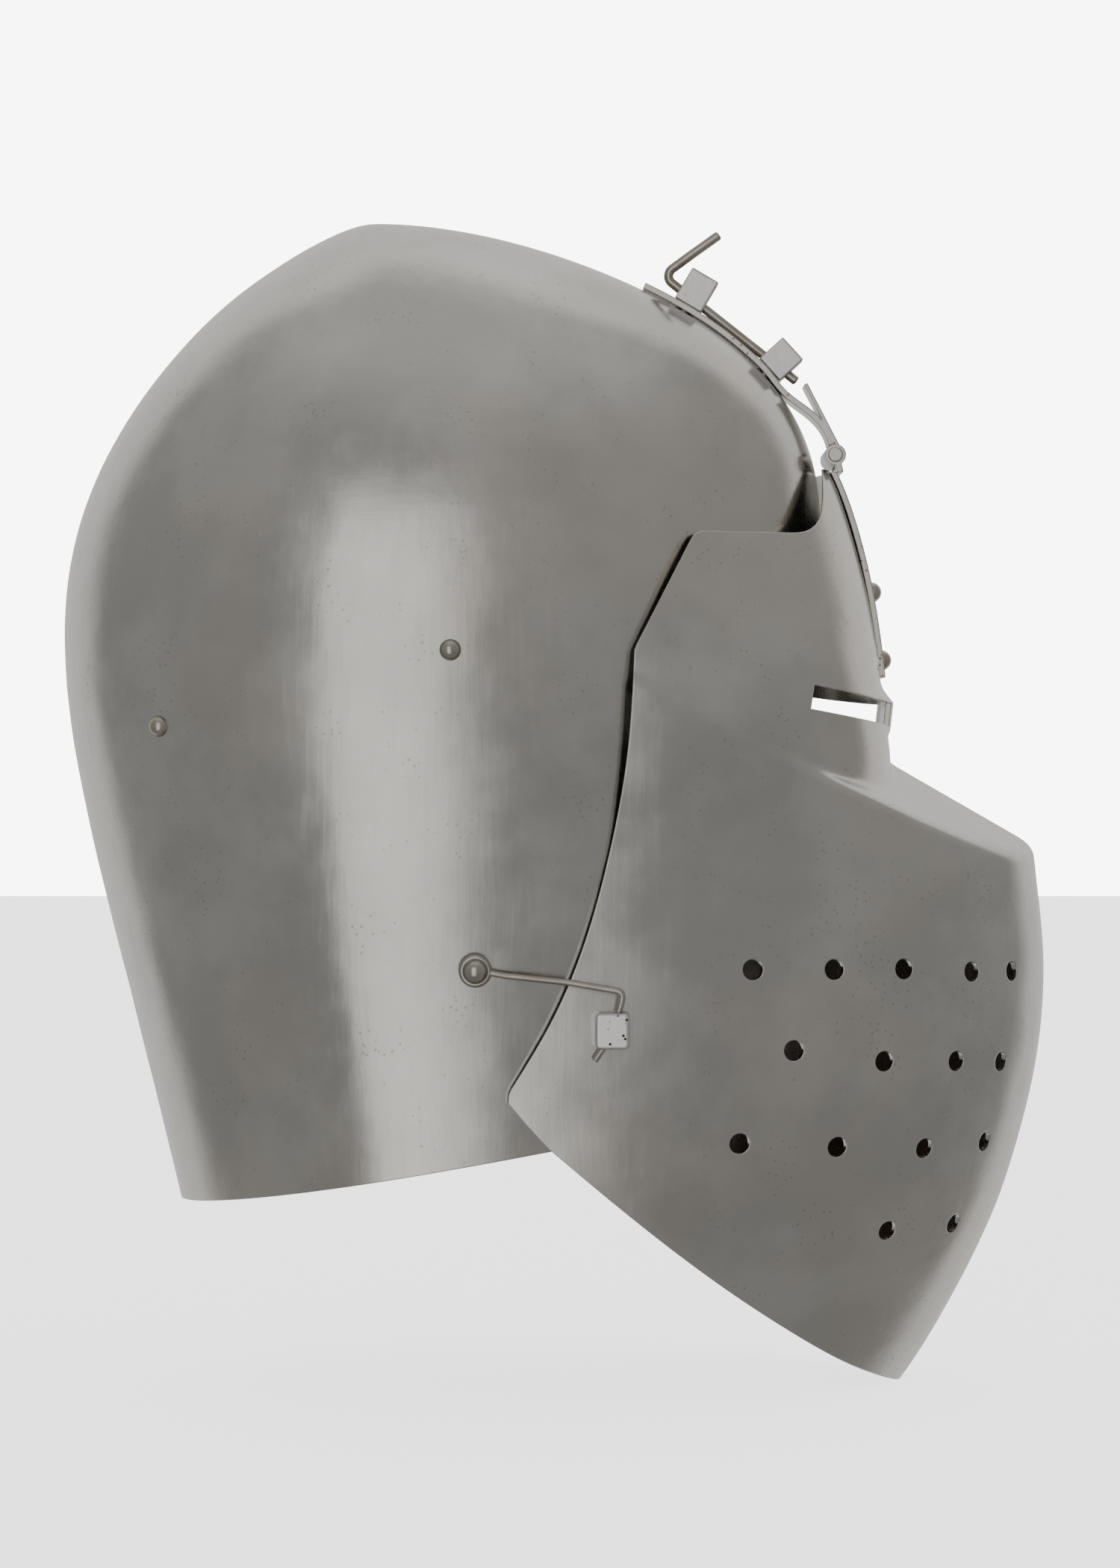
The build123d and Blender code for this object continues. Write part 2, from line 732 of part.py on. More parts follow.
with BuildPart() as chin_strap_right:
    with BuildSketch(strap_plane):
        with BuildLine():
            FilletPolyline(
                *[(-y, z) for y, z in CHIN_SIDE], (-26, -153.6), (30, -153.6), (50, -146),
                radius=14,
            )
        trace(line_width=LEATHER)
    extrude(amount=CHIN_WIDTH / 2, both=True)
    with BuildSketch(Plane((CHIN_X, 0, -153.6))):
        with GridLocations(1, 14, 1, 4):
            Circle(1.3)
    extrude(amount=6, both=True, mode=Mode.SUBTRACT)
    add(liner_drills.part, mode=Mode.SUBTRACT)
finish(chin_strap_right, "chin_strap_right")

with BuildPart() as chin_buckle_frame:
    with BuildSketch(Plane((CHIN_X, 18.2, -152.1))):
        RectangleRounded(27, 20, 3)
        RectangleRounded(20.4, 14, 1.5, mode=Mode.SUBTRACT)
    extrude(amount=2.2)
    fillet(chin_buckle_frame.edges().filter_by(Plane.XY), 0.6)
finish(chin_buckle_frame, "chin_buckle_frame")

with BuildPart() as chin_buckle_prong:
    with BuildSketch(Plane((CHIN_X, 27.5, -148.7), (1, 0, 0), (0, -1, 0))):
        Circle(1.1)
    extrude(amount=20, taper=1.5)
finish(chin_buckle_prong, "chin_buckle_prong")

with BuildPart() as chin_strap_keeper:
    keeper_tilt = math.degrees(math.atan2(10.1, 27))
    with BuildSketch(Plane((CHIN_X, 43, -148.1), (1, 0, 0), (0, 1, math.tan(math.radians(keeper_tilt))))):
        RectangleRounded(CHIN_WIDTH + 4.6, 10.6, 1.5)
        RectangleRounded(CHIN_WIDTH + 1, 7.2, 0.8, mode=Mode.SUBTRACT)
    extrude(amount=4, both=True)
finish(chin_strap_keeper, "chin_strap_keeper")
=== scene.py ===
"""Looks of the bascinet: smooth steel plates, fittings, leather liner, studio light."""

import bmesh
import bpy
import json
import math
import numpy as np
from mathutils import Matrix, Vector, noise
from mathutils.bvhtree import BVHTree


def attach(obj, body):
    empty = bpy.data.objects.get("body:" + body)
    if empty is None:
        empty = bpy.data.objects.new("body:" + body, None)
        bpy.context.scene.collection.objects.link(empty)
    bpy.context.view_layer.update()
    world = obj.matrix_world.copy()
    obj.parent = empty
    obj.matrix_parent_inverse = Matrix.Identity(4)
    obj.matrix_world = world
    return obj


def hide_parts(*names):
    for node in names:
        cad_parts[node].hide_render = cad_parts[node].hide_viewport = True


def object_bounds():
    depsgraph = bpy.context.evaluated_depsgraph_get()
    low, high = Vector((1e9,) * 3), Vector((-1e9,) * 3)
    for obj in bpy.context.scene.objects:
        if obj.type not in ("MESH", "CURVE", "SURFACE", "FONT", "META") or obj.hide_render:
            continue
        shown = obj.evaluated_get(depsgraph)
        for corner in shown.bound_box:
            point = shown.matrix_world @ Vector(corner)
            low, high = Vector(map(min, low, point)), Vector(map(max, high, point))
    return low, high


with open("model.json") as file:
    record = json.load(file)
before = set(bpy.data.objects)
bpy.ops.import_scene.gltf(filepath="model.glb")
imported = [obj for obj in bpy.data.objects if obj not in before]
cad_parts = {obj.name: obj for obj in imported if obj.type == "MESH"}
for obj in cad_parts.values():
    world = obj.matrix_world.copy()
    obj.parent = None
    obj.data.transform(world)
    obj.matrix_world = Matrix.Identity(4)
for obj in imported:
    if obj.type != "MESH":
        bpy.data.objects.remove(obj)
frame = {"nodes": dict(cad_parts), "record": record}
cad_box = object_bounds()
MM = 0.001
SHEET = 2.0

# ---------------- camera ----------------
camera_data = bpy.data.cameras.new("camera")
camera_data.lens = 96
camera_data.sensor_width = 36
camera_data.clip_start = 0.05
camera_data.clip_end = 20
camera = bpy.data.objects.new("camera", camera_data)
camera.location = (0.0375, -1.4, -0.045)
camera.rotation_euler = (math.radians(90), 0, 0)
bpy.context.collection.objects.link(camera)
bpy.context.scene.camera = camera


# ---------------- small helpers ----------------
def new_object(name, verts, faces, smooth=True):
    """Mesh object from points in millimetres."""
    mesh = bpy.data.meshes.new(name)
    mesh.from_pydata([tuple(float(c) * MM for c in v) for v in verts], [], [list(f) for f in faces])
    mesh.update()
    for poly in mesh.polygons:
        poly.use_smooth = smooth
    obj = bpy.data.objects.new(name, mesh)
    bpy.context.collection.objects.link(obj)
    return obj


def boolean(obj, other, operation):
    """Apply one boolean at once and drop the other solid."""
    step = obj.modifiers.new("cut", "BOOLEAN")
    step.operation = operation
    step.solver = "MANIFOLD"
    step.object = other
    bpy.context.view_layer.update()
    graph = bpy.context.evaluated_depsgraph_get()
    mesh = bpy.data.meshes.new_from_object(obj.evaluated_get(graph))
    obj.modifiers.clear()
    old = obj.data
    obj.data = mesh
    bpy.data.meshes.remove(old)
    bpy.data.objects.remove(other)


def smooth_by_angle(obj, degrees=32):
    obj.data.set_sharp_from_angle(angle=math.radians(degrees))


def spline(knots, values, start=None, end=None):
    """Cubic through the values; an end with no given slope is left straight."""
    knots = np.array(knots, float)
    values = np.array(values, float)
    count = len(knots)
    gap = np.diff(knots)
    slope = np.diff(values) / gap
    grid = np.zeros((count, count))
    right = np.zeros(count)
    for i in range(1, count - 1):
        grid[i, i - 1:i + 2] = gap[i - 1], 2 * (gap[i - 1] + gap[i]), gap[i]
        right[i] = 6 * (slope[i] - slope[i - 1])
    grid[0, 0] = grid[-1, -1] = 1
    if start is not None:
        grid[0, :2] = 2 * gap[0], gap[0]
        right[0] = 6 * (slope[0] - start)
    if end is not None:
        grid[-1, -2:] = gap[-1], 2 * gap[-1]
        right[-1] = 6 * (end - slope[-1])
    bend = np.linalg.solve(grid, right)

    def at(t):
        i = np.clip(np.searchsorted(knots, t) - 1, 0, count - 2)
        after = t - knots[i]
        before = knots[i + 1] - t
        h = gap[i]
        return (
            (bend[i] * before ** 3 + bend[i + 1] * after ** 3) / (6 * h)
            + (values[i] / h - bend[i] * h / 6) * before
            + (values[i + 1] / h - bend[i + 1] * h / 6) * after
        )

    return at


def ring_solid(name, rings, top=None):
    """Closed solid from rings of equal length, lowest first, with an optional point on top."""
    count = len(rings[0])
    verts = [point for ring in rings for point in ring]
    faces = []
    for row in range(len(rings) - 1):
        base = row * count
        for i in range(count):
            j = (i + 1) % count
            faces.append((base + i, base + j, base + count + j, base + count + i))
    last = (len(rings) - 1) * count
    faces.append(tuple(reversed(range(count))))
    if top is None:
        faces.append(tuple(range(last, last + count)))
    else:
        verts.append(top)
        for i in range(count):
            faces.append((last + i, last + (i + 1) % count, len(verts) - 1))
    return new_object(name, verts, faces)


def prism(outline, low, high):
    """Solid with an outline in the XZ plane, from y = low to y = high."""
    area = sum(
        a[0] * b[1] - b[0] * a[1] for a, b in zip(outline, outline[1:] + outline[:1])
    )
    if area < 0:
        outline = outline[::-1]
    count = len(outline)
    verts = [(x, low, z) for x, z in outline] + [(x, high, z) for x, z in outline]
    faces = [tuple(range(count)), tuple(reversed(range(count, 2 * count)))]
    for i in range(count):
        j = (i + 1) % count
        faces.append((j, i, count + i, count + j))
    return new_object("cutter", verts, faces, smooth=False)


def hammered(point, amount):
    """Slow unevenness of a hand-raised plate, in millimetres."""
    place = Vector(point) * 0.03
    fine = noise.noise(Vector(point) * 0.085 + Vector((7, 3, 1)))
    return amount * (noise.noise(place) + 0.32 * fine)


# ---------------- skull ----------------
SKULL = [
    (-215, -80.5, 138, 2, 91), (-165, -93, 138, 0, 94), (-115, -105.5, 136, -3, 98),
    (-65, -117.8, 132, -5, 101), (-15, -126.8, 128, -6, 102), (25, -126.3, 125, -7, 98.5),
    (60, -115.8, 122.5, -8, 89), (90, -97, 107, -10, 74), (112, -77, 80, -13, 57),
    (128, -56, 46, -16, 38), (138, -38.5, 12.5, -20, 19.5), (142.2, -24, -24, -24, 0),
]


def skull_rings(inset, dents, rows=230, columns=260):
    """Rings of the egg, from the bottom up, and its crown point."""
    size = np.array([1 - inset / 126, 1 - inset / 100, 1 - inset / 142])
    table = np.array(SKULL, float)
    steps = np.hypot(np.diff(table[:, 0]), np.diff(table[:, 4]))
    along = np.concatenate([[0], np.cumsum(steps)])
    height = spline(along, table[:, 0], end=0.0)
    rear, front, widest, half = [spline(along, table[:, k]) for k in (1, 2, 3, 4)]
    rings = []
    for share in np.linspace(0, 0.997, rows):
        t = share * along[-1]
        ring = []
        for angle in np.linspace(0, 2 * math.pi, columns, endpoint=False):
            reach = front(t) - widest(t) if math.cos(angle) > 0 else widest(t) - rear(t)
            x = widest(t) + reach * math.cos(angle)
            y = half(t) * math.sin(angle)
            z = float(height(t))
            out = Vector((math.cos(angle), math.sin(angle), 0)) * hammered((x, y, z), dents)
            ring.append(((x + out.x) * size[0], (y + out.y) * size[1], z * size[2]))
        rings.append(ring)
    return rings, (-24 * size[0], 0, 142.2 * size[2])


outer_rings, outer_top = skull_rings(0, 0.22)
skull = ring_solid("skull_plate", outer_rings, outer_top)
inner_rings, inner_top = skull_rings(SHEET, 0.22)
boolean(skull, ring_solid("hollow", inner_rings, inner_top), "DIFFERENCE")
rim_slope = math.tan(math.radians(10))
boolean(
    skull,
    prism(
        [(-300, -182 - 211 * rim_slope), (300, -182 + 389 * rim_slope), (300, -400), (-300, -400)],
        -200, 200,
    ),
    "DIFFERENCE",
)
opening = [(220, 10), (102, 10)]
opening += [
    (92 + 10 * (1 - math.sin(a)) - 1.2 * math.sin(a), 10 - 10 * (1 - math.cos(a)))
    for a in np.linspace(0.2, 1.5, 8)
]
opening += [(80, -70), (48, -230), (220, -230)]
boolean(skull, prism(opening, -200, 200), "DIFFERENCE")
smooth_by_angle(skull)
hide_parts("skull_shell")
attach(skull, "root")

# ---------------- visor ----------------
FACE_PLATE = [
    (78, 112, 60, 2.01), (60, 127.5, 73, 2.01), (46, 133.2, 83, 2.06), (23, 139.3, 90.5, 2.17),
    (0, 143, 93.6, 2.45), (-20, 145, 95.4, 2.85), (-50, 146, 95.2, 2.78), (-90, 120, 90, 2.17),
]
SNOUT = [
    (-16, 193, 95.6), (-66, 195.6, 96.4), (-104, 199, 97.8), (-135, 196.7, 98.2),
    (-160, 191.3, 95.6), (-185, 183, 90), (-210, 171.5, 81), (-235, 157, 66), (-260, 139, 48),
]
BRIDGE = (144.8, -36)
ROOF_SLOPE = 28.8 / 50.2
SIDE_SLOPE = 0.25
SIGHT_RINGS = [(-25, 38, 50), (-13, 50, 67), (-5.2, 53.9, 73), (4.4, 53.4, 72.5), (13, 44, 58)]
SIGHT_CENTRE = 95
SIGHT_TILT = math.radians(-9.5)
SIGHT_MIDDLE = (132.5, -19.8)
CENTRE = 20


def soft_max(a, b, blend):
    near = np.maximum(blend - np.abs(a - b), 0) / blend
    return np.maximum(a, b) + near * near * blend / 4


def table_splines(rows):
    table = np.array(sorted(rows), float)
    return [spline(table[:, 0], table[:, k]) for k in range(1, table.shape[1])]


face_splines = table_splines(FACE_PLATE)
snout_splines = table_splines(SNOUT)


def sight_radius(cosine, sine, z, inset):
    """Reach of the frame around the sights, lofted between tilted half ellipses."""
    table = np.array(SIGHT_RINGS, float)
    ct = math.cos(SIGHT_TILT)
    st = math.sin(SIGHT_TILT)
    reach = np.full_like(cosine, 115.0)
    for _ in range(12):
        forward = CENTRE + reach * cosine - SIGHT_MIDDLE[0]
        h = -forward * st + (z - SIGHT_MIDDLE[1]) * ct
        a = np.interp(h, table[:, 0], table[:, 1]) - inset
        b = np.interp(h, table[:, 0], table[:, 2]) - inset
        alpha = cosine * ct
        beta = (CENTRE - SIGHT_MIDDLE[0]) * ct + (z - SIGHT_MIDDLE[1]) * st
        beta = beta - (SIGHT_CENTRE - SIGHT_MIDDLE[0])
        qa = alpha ** 2 / a ** 2 + sine ** 2 / b ** 2
        qb = 2 * alpha * beta / a ** 2
        qc = beta ** 2 / a ** 2 - 1
        disc = qb ** 2 - 4 * qa * qc
        found = (-qb + np.sqrt(np.maximum(disc, 0))) / (2 * qa)
        inside = (disc > 0) & (h > table[0, 0]) & (h < table[-1, 0])
        reach = 0.5 * reach + 0.5 * np.where(inside, found, 60.0)
    return np.where(inside, found, 0.0)


def visor_radius(angle, z, inset):
    """Distance of the visor's surface from the upright line x = 20, y = 0."""
    cosine = np.cos(angle)
    sine = np.abs(np.sin(angle))
    low = max(z, -90)
    front, half, power = [float(curve(low)) for curve in face_splines]
    a = front - inset - CENTRE
    b = half - inset
    face = ((cosine / a) ** power + (sine / b) ** power) ** (-1 / power)
    if z < -90:
        face = face * 0.5
    under = min(z, -16)
    front, half = [float(curve(under)) for curve in snout_splines]
    a = front - inset - CENTRE
    b = half - inset
    snout = ((cosine / a) ** 2 + (sine / b) ** 2) ** -0.5
    down = inset * math.hypot(1, ROOF_SLOPE)
    lift = BRIDGE[1] - down - z + ROOF_SLOPE * (BRIDGE[0] - CENTRE)
    roof = np.maximum(lift, 1) / (ROOF_SLOPE * cosine + SIDE_SLOPE * sine)
    snout = -soft_max(-snout, -roof, 5.0)
    both = soft_max(face, snout, 3.0)
    return soft_max(both, sight_radius(cosine, sine, z, inset), 2.0)


def visor_rings(inset, dents, low, high, back, columns=300):
    angles = np.linspace(-math.pi / 2, math.pi / 2, columns)
    rings = []
    for z in np.arange(low, high, 1.0):
        reach = visor_radius(angles, z, inset)
        ring = []
        for angle, r in zip(angles, reach):
            x = CENTRE + r * math.cos(angle)
            y = r * math.sin(angle)
            r = r + hammered((x + 300, y, z), dents)
            ring.append((CENTRE + r * math.cos(angle), r * math.sin(angle), z))
        ring += [(back, ring[-1][1], z), (back, ring[0][1], z)]
        rings.append(ring)
    return rings


def edge_curve(points, count):
    """Smooth run of points through a few given ones, by distance along them."""
    points = np.array(points, float)
    along = np.concatenate([[0], np.cumsum(np.hypot(*np.diff(points, axis=0).T))])
    fx = spline(along, points[:, 0])
    fz = spline(along, points[:, 1])
    return [(float(fx(t)), float(fz(t))) for t in np.linspace(0, along[-1], count)]


visor = ring_solid("visor_plate", visor_rings(0, 0.2, -256, 66, 4))
outer_tree = BVHTree.FromPolygons(
    [v.co.copy() for v in visor.data.vertices], [tuple(p.vertices) for p in visor.data.polygons]
)
boolean(visor, ring_solid("hollow", visor_rings(SHEET, 0.2, -259, 70, 0)), "DIFFERENCE")
outline = [(82, 35.2), (97, 35.4)]
outline += edge_curve([(112, 35.8), (117.5, 36.9), (121.4, 40.5), (123.2, 47), (124, 59)], 14)
outline += [(230, 59), (230, -243)]
outline += edge_curve([(150, -243), (131.9, -234), (116.4, -224.2), (72.7, -191.8), (34, -159)], 30)
outline += [(27, -151.3), (21.3, -144.5), (21.5, -142)]
outline += edge_curve(
    [(22.2, -140.3), (34.6, -119.5), (45.2, -94.5), (52.6, -68), (58.6, -35), (60.8, -3)], 40
)
outline += [(61.6, -1), (78.6, 32), (79.8, 34)]
boolean(visor, prism(outline, -200, 200), "INTERSECT")


def sight_slot(side):
    """Cutter for one sight, a straight slot with square ends."""
    ct = math.cos(SIGHT_TILT)
    st = math.sin(SIGHT_TILT)
    corners = [(-15, -3.85), (66, -3.85), (66, 3.85), (-15, 3.85)]
    shape = [
        (SIGHT_MIDDLE[0] + x * ct - z * st, SIGHT_MIDDLE[1] + x * st + z * ct) for x, z in corners
    ]
    low, high = sorted((side * 18, side * 150))
    return prism(shape, low, high)


for side in (-1, 1):
    boolean(visor, sight_slot(side), "DIFFERENCE")

BREATHS = [
    (98, -103.3), (124.1, -103.6), (147, -103.9), (170.1, -105.4), (184.6, -105.9),
    (111.1, -128.9), (140.5, -133.1), (164.8, -134), (180.9, -135.2),
    (93.9, -158), (125.3, -160), (154.3, -161.8), (175.7, -161.3),
    (142.5, -188.3), (165.6, -188.1),
]


def breath_cutters():
    """One solid with a short cylinder for every breath hole."""
    verts = []
    faces = []
    count = 28
    for side in (-1, 1):
        for x, z in BREATHS:
            start = Vector((x, side * 200, z)) * MM
            spot, normal, _, _ = outer_tree.ray_cast(start, Vector((0, -side, 0)))
            spot = spot / MM
            if normal.y * side < 0:
                normal = -normal
            across = normal.cross(Vector((0, 0, 1))).normalized()
            up = across.cross(normal)
            base = len(verts)
            for depth in (-7, 5):
                for i in range(count):
                    a = 2 * math.pi * i / count
                    verts.append(
                        spot + normal * depth + (across * math.cos(a) + up * math.sin(a)) * 3.3
                    )
            for i in range(count):
                j = (i + 1) % count
                faces.append((base + j, base + i, base + count + i, base + count + j))
            faces.append(tuple(base + i for i in range(count)))
            faces.append(tuple(base + count + i for i in reversed(range(count))))
    return new_object("cutter", verts, faces, smooth=False)


boolean(visor, breath_cutters(), "DIFFERENCE")
smooth_by_angle(visor)
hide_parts("visor_shell")
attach(visor, "visor")


# ---------------- materials ----------------
class Shader:
    """Short way to build a node material."""

    def __init__(self, name):
        self.material = bpy.data.materials.new(name)
        self.material.use_nodes = True
        self.tree = self.material.node_tree
        self.surface = self.tree.nodes["Principled BSDF"]
        self.place = self.add("ShaderNodeTexCoord").outputs["Object"]

    def add(self, kind, settings=None, **sockets):
        node = self.tree.nodes.new(kind)
        for key, value in (settings or {}).items():
            setattr(node, key, value)
        for key, value in sockets.items():
            self.put(node, key, value)
        return node

    def put(self, node, key, value):
        key = key.replace("_", " ")
        socket = node.inputs[int(key[1:])] if key[0] == "n" and key[1:].isdigit() else node.inputs[key]
        if isinstance(value, bpy.types.NodeSocket):
            self.tree.links.new(value, socket)
        else:
            socket.default_value = value

    def noise(self, scale, detail=3.0, stretch=None, rough=0.55):
        place = self.place
        if stretch:
            place = self.add("ShaderNodeMapping", Vector=place, Scale=stretch).outputs["Vector"]
        node = self.add("ShaderNodeTexNoise", Vector=place, Scale=scale, Detail=detail, Roughness=rough)
        return node.outputs["Fac"]

    def ramp(self, value, low, high, out_low=0.0, out_high=1.0):
        node = self.add("ShaderNodeMapRange", {"interpolation_type": "SMOOTHSTEP"}, Value=value)
        for key, number in (
            ("From Min", low), ("From Max", high), ("To Min", out_low), ("To Max", out_high)
        ):
            node.inputs[key].default_value = number
        return node.outputs["Result"]

    def math(self, operation, a, b):
        node = self.add("ShaderNodeMath", {"operation": operation})
        self.put(node, "n0", a)
        self.put(node, "n1", b)
        return node.outputs["Value"]

    def mix(self, share, a, b):
        node = self.add("ShaderNodeMix", {"data_type": "RGBA"})
        self.put(node, "n0", share)
        for index, colour in ((6, a), (7, b)):
            if isinstance(colour, tuple):
                colour = (*colour, 1)
            self.put(node, f"n{index}", colour)
        return node.outputs[2]

    def bump(self, height, strength, distance, normal=None):
        node = self.add("ShaderNodeBump", Height=height, Strength=strength, Distance=distance)
        if normal is not None:
            self.put(node, "Normal", normal)
        return node.outputs["Normal"]


def steel(name, colour, rough, scratch=0.25, specks=0.0, tarnish=(0.30, 0.25, 0.18), stain=0.0):
    """Polished or filed steel with mottling, fine scratches and small rust specks."""
    s = Shader(name)
    blotch = s.noise(26, 5)
    cloud = s.noise(9, 3)
    lines = s.noise(420, 2, (1.0, 1.0, 0.06))
    cross = s.noise(380, 2, (0.05, 1.0, 1.0))
    grit = s.noise(1500, 2)
    dark = tuple(c * 0.86 for c in colour)
    tone = s.mix(s.ramp(blotch, 0.38, 0.66), dark, colour)
    warm = (colour[0] * 1.02, colour[1] * 0.97, colour[2] * 0.90)
    tone = s.mix(s.ramp(cloud, 0.45, 0.7, 0.0, 0.6), tone, warm)
    if stain:
        tone = s.mix(s.ramp(s.noise(70, 4), 0.4, 0.65, 0.0, stain), tone, tarnish)
    roughness = s.math("ADD", s.ramp(blotch, 0.3, 0.7, rough * 0.8, rough * 1.25), s.ramp(
        lines, 0.5, 0.75, 0.0, 0.05))
    if specks:
        cells = s.add("ShaderNodeTexVoronoi", Vector=s.place, Scale=420.0)
        spot = s.ramp(cells.outputs["Distance"], 0.12, 0.26, 1.0, 0.0)
        where = s.ramp(s.noise(60, 3), 0.5, 0.62)
        spot = s.math("MULTIPLY", s.math("MULTIPLY", spot, where), specks)
        tone = s.mix(spot, tone, (0.16, 0.075, 0.03))
        roughness = s.math("ADD", roughness, s.math("MULTIPLY", spot, 0.5))
    s.put(s.surface, "Base Color", tone)
    s.put(s.surface, "Metallic", 1.0)
    s.put(s.surface, "Roughness", roughness)
    round_edges = s.add("ShaderNodeBevel", {"samples": 6}, Radius=0.0007).outputs["Normal"]
    normal = s.bump(s.noise(38, 2), 0.10, 0.002, round_edges)
    normal = s.bump(lines, 0.05 * scratch, 0.0004, normal)
    normal = s.bump(cross, 0.05 * scratch, 0.0004, normal)
    normal = s.bump(grit, 0.04 * scratch, 0.0002, normal)
    s.put(s.surface, "Normal", normal)
    return s.material


def leather(name, colour, grain=900.0):
    """Vegetable-tanned leather with pores, creases and darker handled patches."""
    s = Shader(name)
    pores = s.add("ShaderNodeTexVoronoi", Vector=s.place, Scale=grain).outputs["Distance"]
    patch = s.noise(22, 5)
    dark = tuple(c * 0.55 for c in colour)
    tone = s.mix(s.ramp(patch, 0.3, 0.7), dark, colour)
    tone = s.mix(s.ramp(pores, 0.05, 0.35, 0.45, 0.0), tone, dark)
    s.put(s.surface, "Base Color", tone)
    s.put(s.surface, "Roughness", s.ramp(patch, 0.3, 0.7, 0.48, 0.68))
    s.surface.inputs["Specular IOR Level"].default_value = 0.35
    round_edges = s.add("ShaderNodeBevel", {"samples": 6}, Radius=0.0006).outputs["Normal"]
    normal = s.bump(pores, 0.35, 0.0003, round_edges)
    normal = s.bump(s.noise(160, 5), 0.3, 0.0006, normal)
    s.put(s.surface, "Normal", normal)
    return s.material


def brass(name):
    s = Shader(name)
    blotch = s.noise(140, 5)
    s.put(s.surface, "Base Color", s.mix(s.ramp(blotch, 0.35, 0.7), (0.36, 0.24, 0.09), (0.72, 0.54, 0.26)))
    s.put(s.surface, "Metallic", 1.0)
    s.put(s.surface, "Roughness", s.ramp(blotch, 0.3, 0.7, 0.22, 0.4))
    s.put(s.surface, "Normal", s.bump(s.noise(600, 3), 0.15, 0.0003))
    return s.material


MATERIALS = {
    "polished_steel": steel("polished_steel", (0.60, 0.585, 0.555), 0.2, scratch=1.0, specks=0.25),
    "bright_steel": steel("bright_steel", (0.66, 0.655, 0.65), 0.3, scratch=1.6, specks=1.0),
    "hinge_steel": steel("hinge_steel", (0.52, 0.50, 0.47), 0.2, scratch=1.3, specks=0.5),
    "wire_steel": steel("wire_steel", (0.46, 0.44, 0.40), 0.26, scratch=1.0, specks=0.4, stain=0.45),
    "rivet_steel": steel(
        "rivet_steel", (0.50, 0.48, 0.43), 0.22, scratch=1.0, specks=0.3, stain=0.5,
        tarnish=(0.38, 0.33, 0.20),
    ),
    "liner_leather": leather("liner_leather", (0.50, 0.33, 0.19)),
    "strap_leather": leather("strap_leather", (0.19, 0.10, 0.055), 1100.0),
    "thong_leather": leather("thong_leather", (0.40, 0.26, 0.15), 1300.0),
    "buckle_brass": brass("buckle_brass"),
    "thread": leather("thread", (0.72, 0.63, 0.48), 2500.0),
}


def dress(obj, slot):
    obj.data.materials.clear()
    obj.data.materials.append(MATERIALS[slot])


def cad_object(node):
    found = frame["nodes"][node]
    return bpy.data.objects[found] if isinstance(found, str) else found


dress(skull, "polished_steel")
dress(visor, "polished_steel")
for row in frame["record"]["subparts"]:
    cad = cad_object(row["node"])
    for index in range(len(cad.material_slots)):
        cad.material_slots[index].material = MATERIALS[row["material_slot"]]

# ---------------- leather ----------------
BAND_EDGE = (-11.0, 11.0)  # rows of stitches, below and above the band's middle


def stitch_row(name, piece, starts, directions, along):
    """Row of waxed stitches laid where each line first meets a leather piece."""
    tree = BVHTree.FromPolygons(
        [v.co.copy() for v in piece.data.vertices],
        [tuple(p.vertices) for p in piece.data.polygons],
    )
    verts = []
    faces = []
    for start, direction, run in zip(starts, directions, along):
        spot, normal, _, _ = tree.ray_cast(Vector(start) * MM, Vector(direction))
        if spot is None:
            continue
        spot = spot / MM
        run = Vector(run)
        run = (run - normal * run.dot(normal)).normalized()
        side = normal.cross(run)
        base = len(verts)
        for share in (-1, -0.7, 0, 0.7, 1):
            width = 0.42 * math.sqrt(max(0.02, 1 - share * share * 0.96))
            rise = 0.28 * (1 - share * share) - 0.05
            for i in range(6):
                a = math.pi * i / 3
                verts.append(
                    spot + run * share * 1.5 + side * width * math.cos(a)
                    + normal * (width * 0.7 * math.sin(a) + rise)
                )
        for row in range(4):
            for i in range(6):
                j = (i + 1) % 6
                faces.append((
                    base + row * 6 + i, base + row * 6 + j,
                    base + row * 6 + 6 + j, base + row * 6 + 6 + i,
                ))
        faces.append(tuple(base + i for i in reversed(range(6))))
        faces.append(tuple(base + 24 + i for i in range(6)))
    row = new_object(name, verts, faces)
    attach(row, "root")
    row.data.materials.append(MATERIALS["thread"])
    return row


def band_height(x):
    """Height of the middle of the band, which rises from the rear rivets to the temples."""
    return -3.3 + (x - 3.4) * 23.4 / 93.4


band = cad_object("liner_band")
ring = np.linspace(0, 2 * math.pi, 132, endpoint=False)
for label, lift in (("upper", BAND_EDGE[1]), ("lower", BAND_EDGE[0])):
    origins = []
    ways = []
    runs = []
    for a in ring:
        x = 118 * math.cos(a)
        way = Vector((math.cos(a) * 118, math.sin(a) * 93, 0)).normalized()
        origins.append((0, 0, band_height(x * 0.96) + lift))
        ways.append(way)
        runs.append((-way.y, way.x, -way.y * 23.4 / 93.4))
    stitch_row(f"band_stitches_{label}", band, origins, ways, runs)


# ---------------- floor and light ----------------
def glow(name, colour, strength, diffuse):
    s = Shader(name)
    s.put(s.surface, "Base Color", (diffuse, diffuse, diffuse, 1))
    s.put(s.surface, "Roughness", 0.9)
    s.put(s.surface, "Emission Color", (*colour, 1))
    s.put(s.surface, "Emission Strength", strength)
    return s.material


low_z = cad_box[0][2] / MM - 0.2
floor = new_object(
    "floor", [(-6000, -6000, low_z), (6000, -6000, low_z), (6000, 6000, low_z), (-6000, 6000, low_z)],
    [(0, 1, 2, 3)],
)
floor.data.materials.append(glow("pale_floor", (1, 1, 1), 2.2, 0.8))
floor.visible_glossy = False
floor.visible_diffuse = False

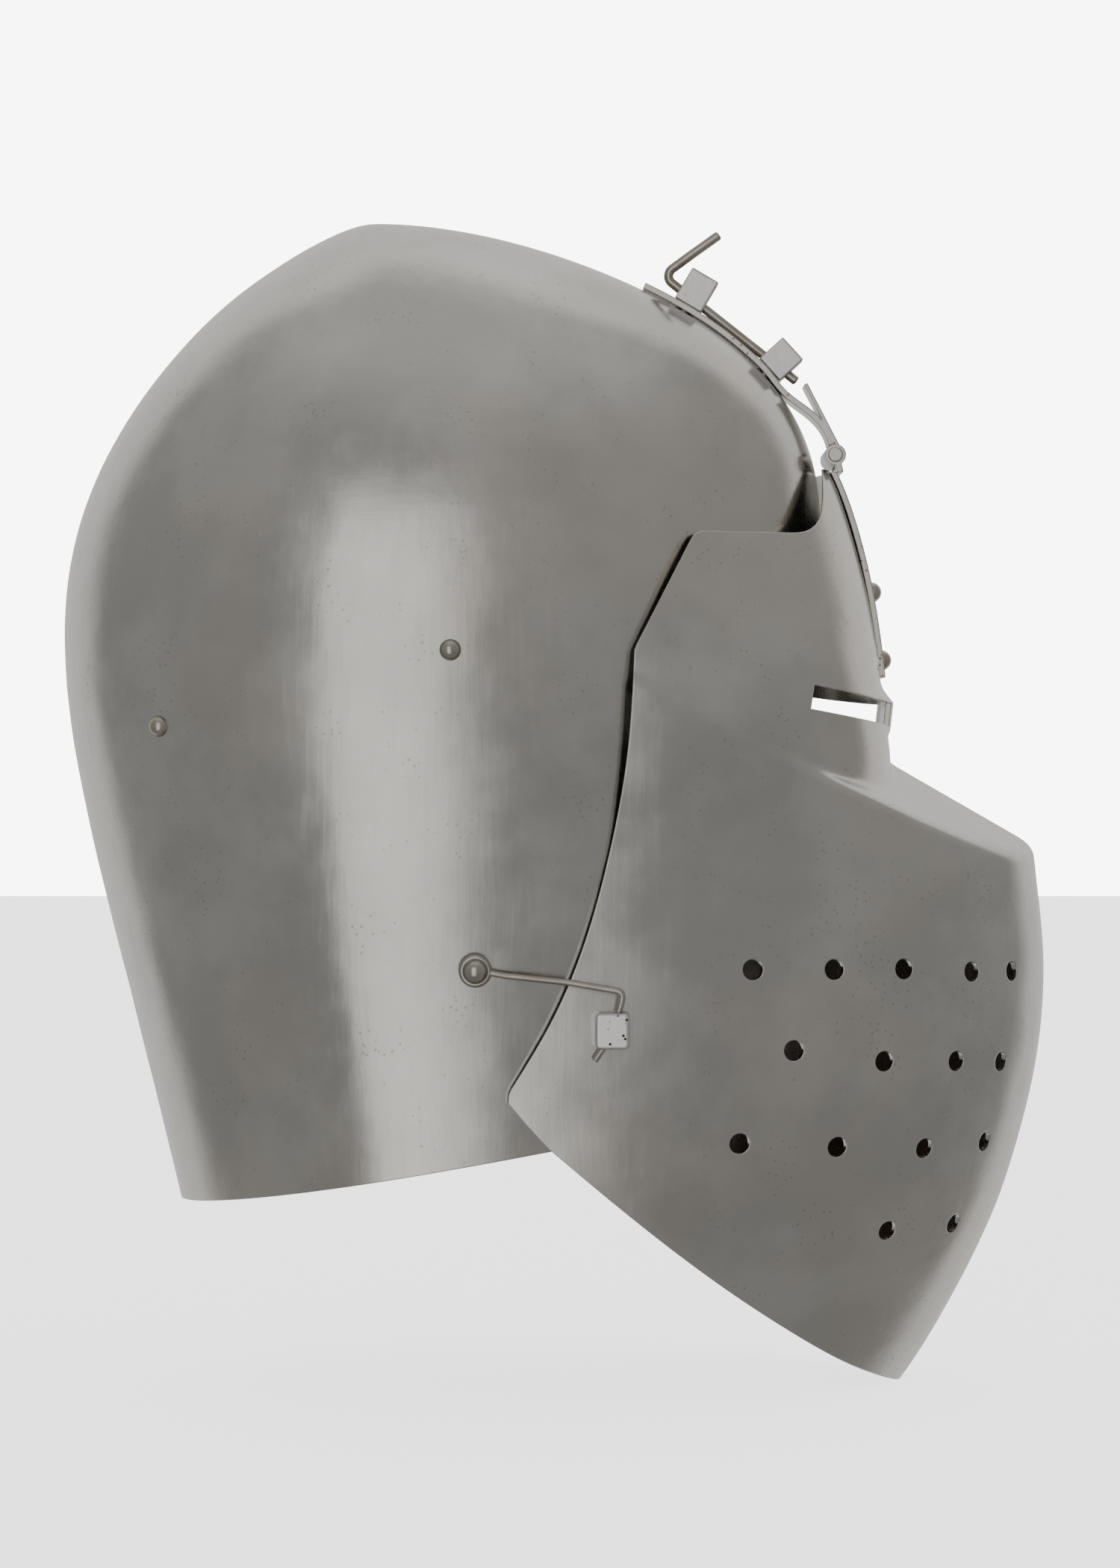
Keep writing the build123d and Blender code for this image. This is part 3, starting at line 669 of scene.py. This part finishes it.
world = bpy.data.worlds.new("studio")
bpy.context.scene.world = world
world.use_nodes = True
sky = world.node_tree
background = sky.nodes["Background"]
coords = sky.nodes.new("ShaderNodeTexCoord")
split = sky.nodes.new("ShaderNodeSeparateXYZ")
sky.links.new(coords.outputs["Generated"], split.inputs[0])


def sky_math(operation, a, b=None):
    node = sky.nodes.new("ShaderNodeMath")
    node.operation = operation
    for index, value in enumerate((a, b)):
        if value is None:
            continue
        if isinstance(value, (int, float)):
            node.inputs[index].default_value = value
        else:
            sky.links.new(value, node.inputs[index])
    return node.outputs[0]


def sky_step(value, low, high):
    node = sky.nodes.new("ShaderNodeMapRange")
    node.interpolation_type = "SMOOTHSTEP"
    sky.links.new(value, node.inputs["Value"])
    node.inputs["From Min"].default_value = low
    node.inputs["From Max"].default_value = high
    return node.outputs["Result"]


minus_y = sky_math("MULTIPLY", split.outputs["Y"], -1.0)
azimuth = sky_math("ARCTAN2", split.outputs["X"], minus_y)
elevation = sky_math("ARCSINE", split.outputs["Z"])
# azimuth grows from straight behind the camera towards the visor's side, in degrees
BOXES = [
    (-29, 6, -38, 34, 2.5, 9.0, 1.0),
    (-180, -122, -60, 70, 9.0, 9.0, 0.5),
    (122, 180, -60, 70, 9.0, 9.0, 0.5),
    (-180, 180, 58, 90, 14.0, 14.0, 0.25),
]
total = sky_math("ADD", sky_math("MULTIPLY", sky_step(elevation, -0.7, 0.9), 0.10), 0.30)
r = math.radians
for az_low, az_high, el_low, el_high, feather, fade, power in BOXES:
    parts = [
        sky_step(azimuth, r(az_low - feather), r(az_low + feather)) if az_low > -180 else 1.0,
        sky_math("SUBTRACT", 1.0, sky_step(azimuth, r(az_high - fade), r(az_high + fade)))
        if az_high < 180 else 1.0,
        sky_step(elevation, r(el_low - fade), r(el_low + fade)),
        sky_math("SUBTRACT", 1.0, sky_step(elevation, r(el_high - fade), r(el_high + fade)))
        if el_high < 90 else 1.0,
    ]
    product = power
    for part in parts:
        product = sky_math("MULTIPLY", product, part)
    total = sky_math("ADD", total, product)
# the white paper behind the object is seen directly but isn't mirrored in the steel
seen = sky.nodes.new("ShaderNodeLightPath").outputs["Is Camera Ray"]
paper = sky_math("MULTIPLY", seen, 8.0)
sky.links.new(sky_math("MAXIMUM", total, paper), background.inputs["Strength"])
background.inputs["Color"].default_value = (1.0, 0.985, 0.965, 1)
